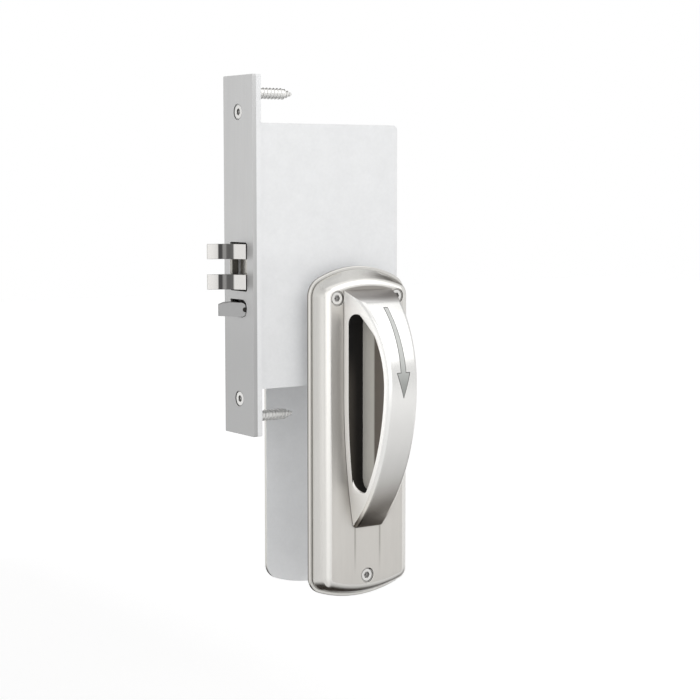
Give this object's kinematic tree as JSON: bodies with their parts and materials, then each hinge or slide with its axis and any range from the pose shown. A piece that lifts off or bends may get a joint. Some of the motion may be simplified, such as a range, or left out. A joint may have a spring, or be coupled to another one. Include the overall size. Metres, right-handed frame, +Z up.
{
  "type": "mortise lever lockset",
  "caption": "Mortise lockset with a flat front, forked latch, auxiliary latch and an arched pull-down handle on a bevelled escutcheon that draws the latch by rack and pinion.",
  "frame": {"origin": "Midway between the two mounting screws, on the seat face of the inner front", "axes": "+X into the door along the mounting screws, +Y to the far side of the door, +Z up along the front"},
  "size_m": [0.1178, 0.0954, 0.3009],
  "materials": {
    "satin_steel": "satin",
    "cast_satin": "satin",
    "bolt_steel": "satin",
    "plated_steel": "zinc plated",
    "spring_steel": "bright",
    "bush_brass": "machined"
  },
  "bodies": {
    "lock": {"armor_front": "satin_steel", "inner_front": "plated_steel", "armor_screws": "satin_steel", "mounting_screws": "plated_steel", "front_rivets": "plated_steel", "lock_case": "plated_steel", "case_cover": "plated_steel", "case_posts": "plated_steel", "cover_screws": "plated_steel", "latch_spring": "spring_steel", "stem_guide": "plated_steel", "aux_spring": "spring_steel", "aux_guide": "plated_steel", "guard_pivot": "plated_steel", "pinion_bush": "bush_brass", "back_plate": "cast_satin", "escutcheon": "cast_satin", "return_springs": "spring_steel", "trim_screws": "satin_steel", "outside_plate": "cast_satin", "through_posts": "plated_steel"},
    "handle": {"arch_handle": "cast_satin", "rack_slide": "plated_steel", "handle_screws": "plated_steel"},
    "drive": {"hub": "plated_steel", "spindle": "plated_steel", "pinion": "plated_steel", "spindle_clip": "spring_steel"},
    "latch": {"latch_bolt": "bolt_steel", "latch_tail": "plated_steel"},
    "aux": {"aux_latch": "bolt_steel"},
    "guard": {"guard_lever": "plated_steel"}
  },
  "joints": [
    {"name": "handle_slide", "type": "slide", "parent": "lock", "child": "handle", "axis": [0, 0, -1], "range_m": [0, 0.01], "stiffness_N_per_m": 1500, "springref_m": -0.012, "deforming": ["return_springs"]},
    {"name": "drive_turn", "type": "hinge", "parent": "lock", "child": "drive", "pos_m": [0.0594, 0, -0.046], "axis": [0, 1, 0], "range_deg": [0, 45]},
    {"name": "latch_slide", "type": "slide", "parent": "lock", "child": "latch", "axis": [1, 0, 0], "range_m": [0, 0.0162], "deforming": ["latch_spring"]},
    {"name": "aux_slide", "type": "slide", "parent": "lock", "child": "aux", "axis": [1, 0, 0], "range_m": [0, 0.0085], "stiffness_N_per_m": 250, "springref_m": -0.01, "deforming": ["aux_spring"]},
    {"name": "guard_turn", "type": "hinge", "parent": "lock", "child": "guard", "pos_m": [0.01325, 0, -0.054], "axis": [0, 1, 0], "range_deg": [0, 20.13]}
  ],
  "couplings": [
    {"joint": "drive_turn", "follows": "handle_slide", "rad_per_m": 78.431},
    {"joint": "latch_slide", "follows": "handle_slide", "ratio": 1.62},
    {"joint": "guard_turn", "follows": "aux_slide", "rad_per_m": 41.239}
  ]
}
